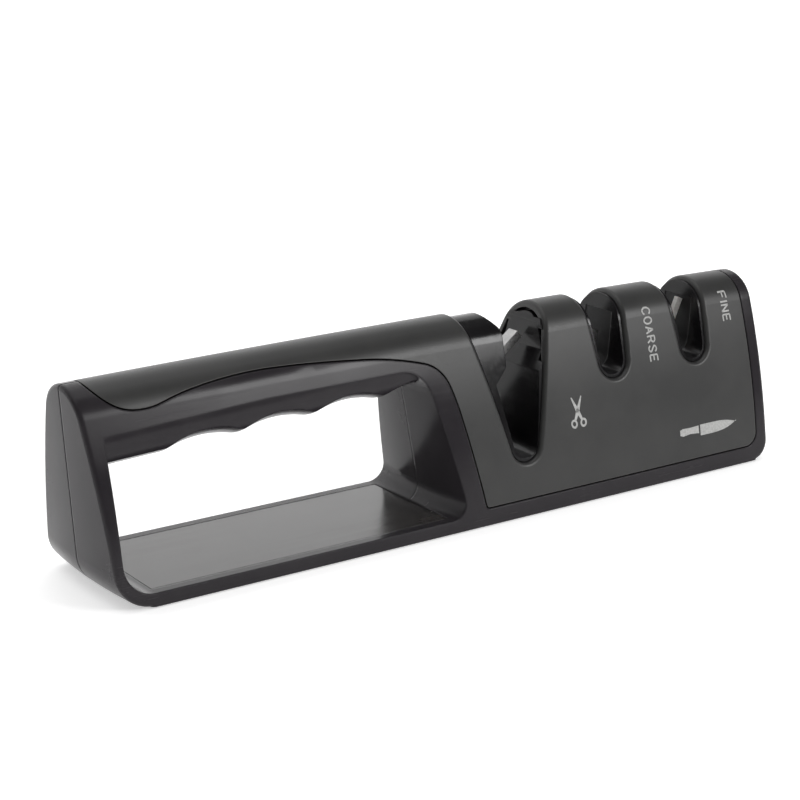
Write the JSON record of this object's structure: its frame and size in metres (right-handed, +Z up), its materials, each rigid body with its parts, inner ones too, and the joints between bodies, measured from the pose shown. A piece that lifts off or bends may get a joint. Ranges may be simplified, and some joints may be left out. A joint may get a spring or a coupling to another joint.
{
  "type": "hand-held knife and scissors sharpener",
  "caption": "Long hand-held sharpener with a closed finger grip at one end and a head with crosswise slots for scissors and for coarse and fine knife sharpening.",
  "frame": {"origin": "middle of the footprint, on the surface that the rubber feet stand on", "axes": "+X from the handle end to the sharpening head, +Z up, -Y the marked front face"},
  "size_m": [0.2343, 0.0442, 0.0583],
  "materials": {
    "cover_plastic": "satin gunmetal-grey moulded cover",
    "frame_plastic": "glossy black moulded shell",
    "base_plastic": "polished black floor panel",
    "guide_plastic": "black slot insert, semi-gloss",
    "carrier_plastic": "black bar holder, matt",
    "foot_rubber": "black non-slip pad",
    "carbide": "ground tungsten carbide",
    "white_ceramic": "fine unglazed white ceramic",
    "arm_steel": "stamped zinc-plated steel",
    "screw_steel": "zinc-plated steel",
    "spring_steel": "spring wire"
  },
  "bodies": {
    "body": {"front_frame_half": "frame_plastic", "rear_frame_half": "frame_plastic", "top_cover": "cover_plastic", "base_plate": "base_plastic", "handle_foot_pad": "foot_rubber", "head_foot_pad": "foot_rubber", "coarse_guide": "guide_plastic", "coarse_carrier": "carrier_plastic", "coarse_bar_front": "carbide", "coarse_bar_rear": "carbide", "fine_guide": "guide_plastic", "fine_carrier": "carrier_plastic", "fine_bar_front": "white_ceramic", "fine_bar_rear": "white_ceramic", "scissor_guide": "guide_plastic", "scissor_pivot_pin": "screw_steel", "scissor_return_spring": "spring_steel", "frame_screws": "screw_steel", "base_screws": "screw_steel"},
    "scissor_rocker": {"scissor_arm": "arm_steel", "scissor_bar": "carbide", "scissor_clamp_screw": "screw_steel"}
  },
  "joints": [
    {"name": "scissor_arm_swivel", "type": "hinge", "parent": "body", "child": "scissor_rocker", "pos_m": [0.0025, 0, 0.0282], "axis": [0, 1, 0], "range_deg": [-4, 4], "stiffness_Nm_per_rad": 0.02, "deforming": ["scissor_return_spring"]}
  ]
}
